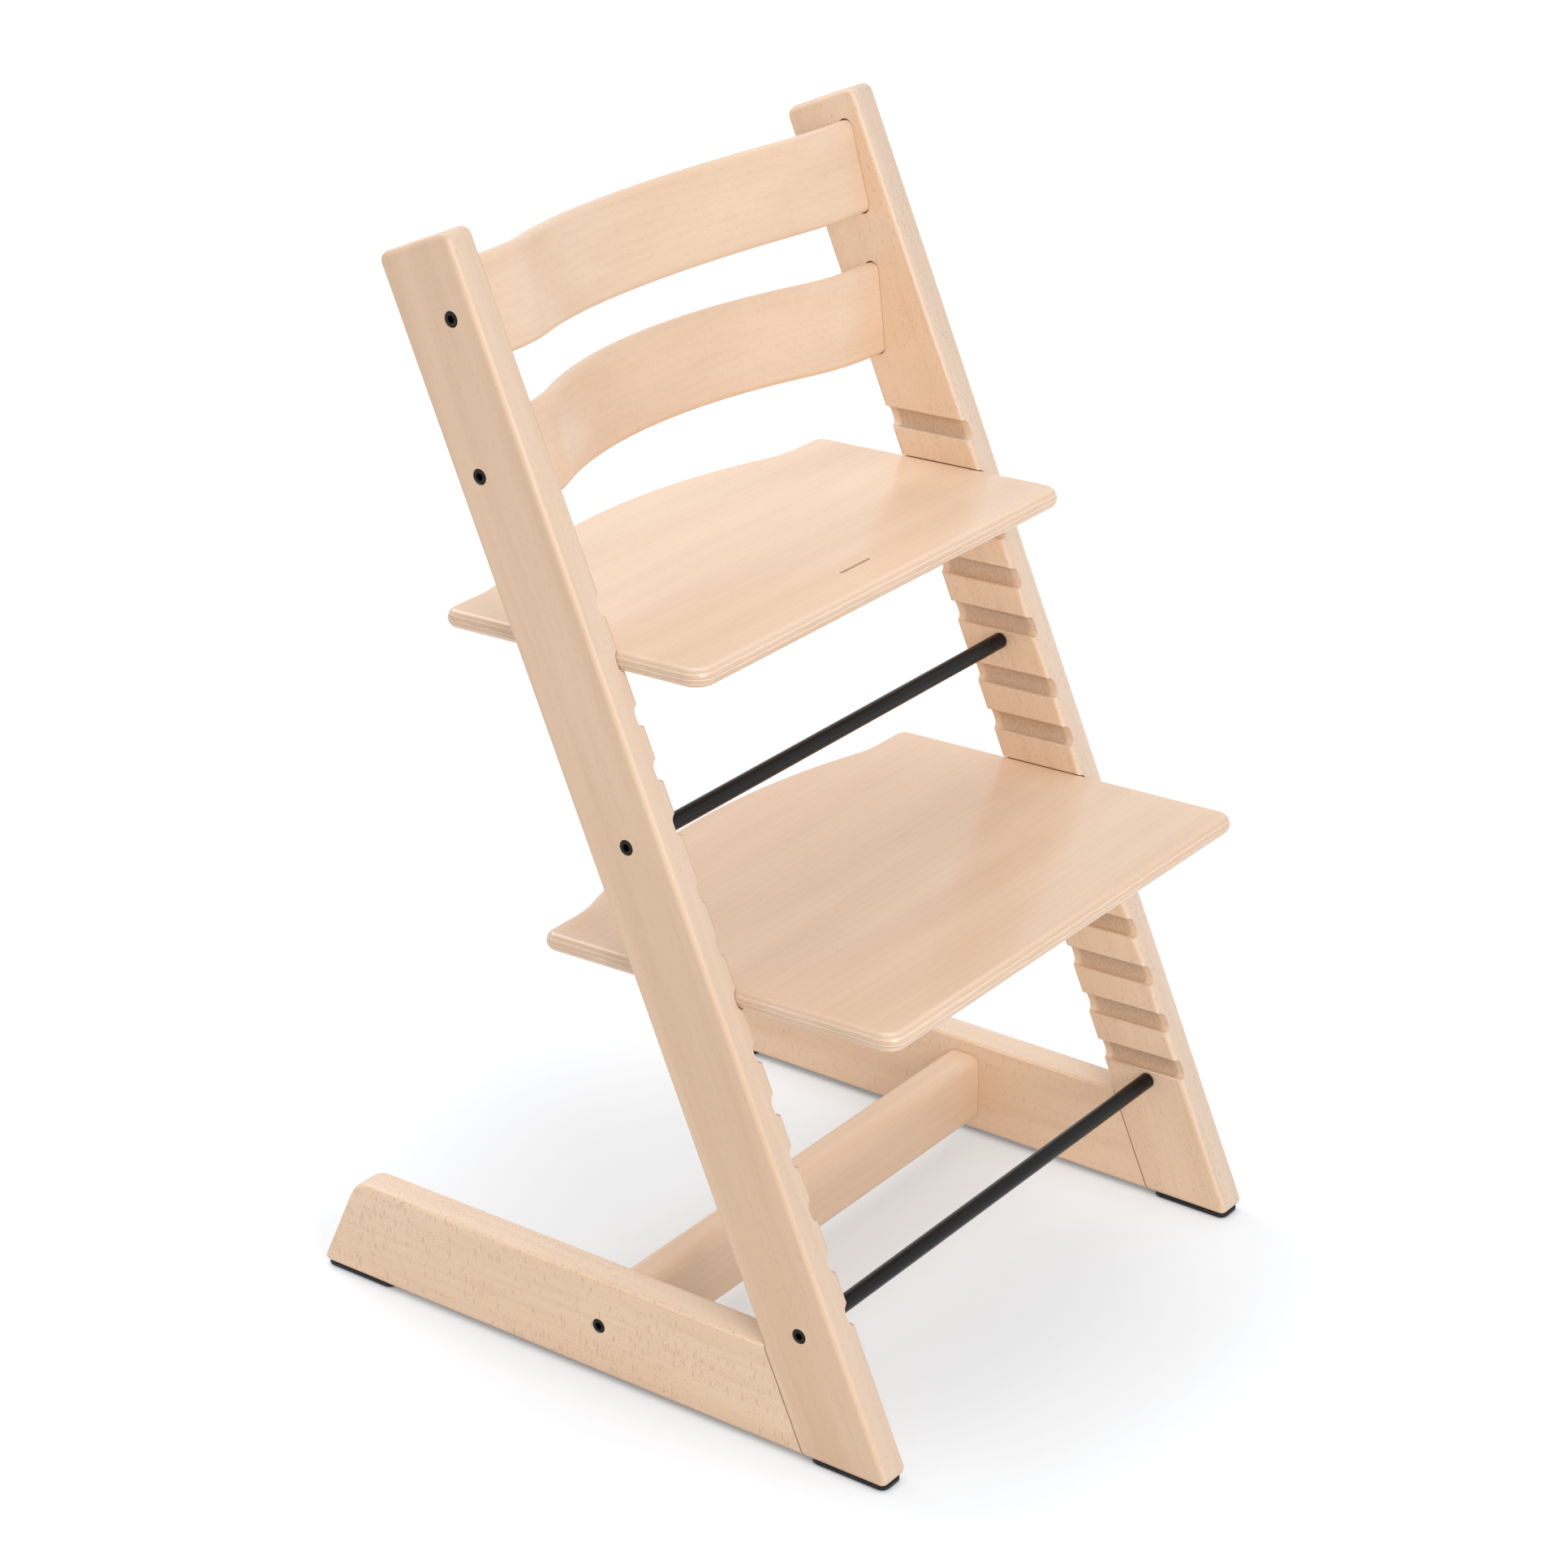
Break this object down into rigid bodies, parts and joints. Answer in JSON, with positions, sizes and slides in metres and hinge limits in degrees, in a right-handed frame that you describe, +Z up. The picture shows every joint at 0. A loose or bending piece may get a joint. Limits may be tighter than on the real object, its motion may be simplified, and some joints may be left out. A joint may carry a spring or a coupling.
{
  "type": "baby high chair",
  "caption": "Wooden high chair with leaning grooved side uprights on floor rails, bowed backrest boards, and seat and foot plates that slide in matching grooves.",
  "frame": {"origin": "centre of the footprint, on the floor under the glides", "axes": "+X across the chair, from its left side frame to its right one, +Y towards the back, +Z up. The chair is the same on both sides of the YZ plane"},
  "size_m": [0.458, 0.4902, 0.7914],
  "materials": {
    "solid_beech": "clear satin lacquer on solid beech",
    "beech_plywood": "clear satin lacquer on beech plywood, plies showing at the edge",
    "dowel_beech": "bare turned beech",
    "black_steel": "satin black coating on steel",
    "zinc_steel": "dull zinc plating on steel",
    "black_plastic": "fine matt moulded plastic"
  },
  "bodies": {
    "frame": {"side_upright_left": "solid_beech", "floor_rail_left": "solid_beech", "joint_dowel_upper_left": "dowel_beech", "joint_dowel_lower_left": "dowel_beech", "front_glide_left": "black_plastic", "rear_glide_left": "black_plastic", "side_upright_right": "solid_beech", "floor_rail_right": "solid_beech", "joint_dowel_upper_right": "dowel_beech", "joint_dowel_lower_right": "dowel_beech", "front_glide_right": "black_plastic", "rear_glide_right": "black_plastic", "backrest_upper": "solid_beech", "upper_cross_bar": "black_steel", "backrest_upper_nut_left": "zinc_steel", "backrest_upper_screw_left": "black_steel", "upper_cross_bar_screw_left": "black_steel", "backrest_upper_nut_right": "zinc_steel", "backrest_upper_screw_right": "black_steel", "upper_cross_bar_screw_right": "black_steel", "backrest_lower": "solid_beech", "lower_cross_bar": "black_steel", "backrest_lower_nut_left": "zinc_steel", "backrest_lower_screw_left": "black_steel", "lower_cross_bar_screw_left": "black_steel", "backrest_lower_nut_right": "zinc_steel", "backrest_lower_screw_right": "black_steel", "lower_cross_bar_screw_right": "black_steel", "cross_brace": "solid_beech", "cross_brace_nut_left": "zinc_steel", "cross_brace_dowel_left": "dowel_beech", "cross_brace_screw_left": "black_steel", "cross_brace_nut_right": "zinc_steel", "cross_brace_dowel_right": "dowel_beech", "cross_brace_screw_right": "black_steel"},
    "seat": {"seat_plate": "beech_plywood"},
    "footrest": {"foot_plate": "beech_plywood"}
  },
  "joints": [
    {"name": "seat_slide", "type": "slide", "parent": "frame", "child": "seat", "axis": [0, 0.9995, -0.0305], "range_m": [-0.06, 0.035]},
    {"name": "foot_slide", "type": "slide", "parent": "frame", "child": "footrest", "axis": [0, 0.9995, -0.0305], "range_m": [-0.07, 0.07]}
  ]
}
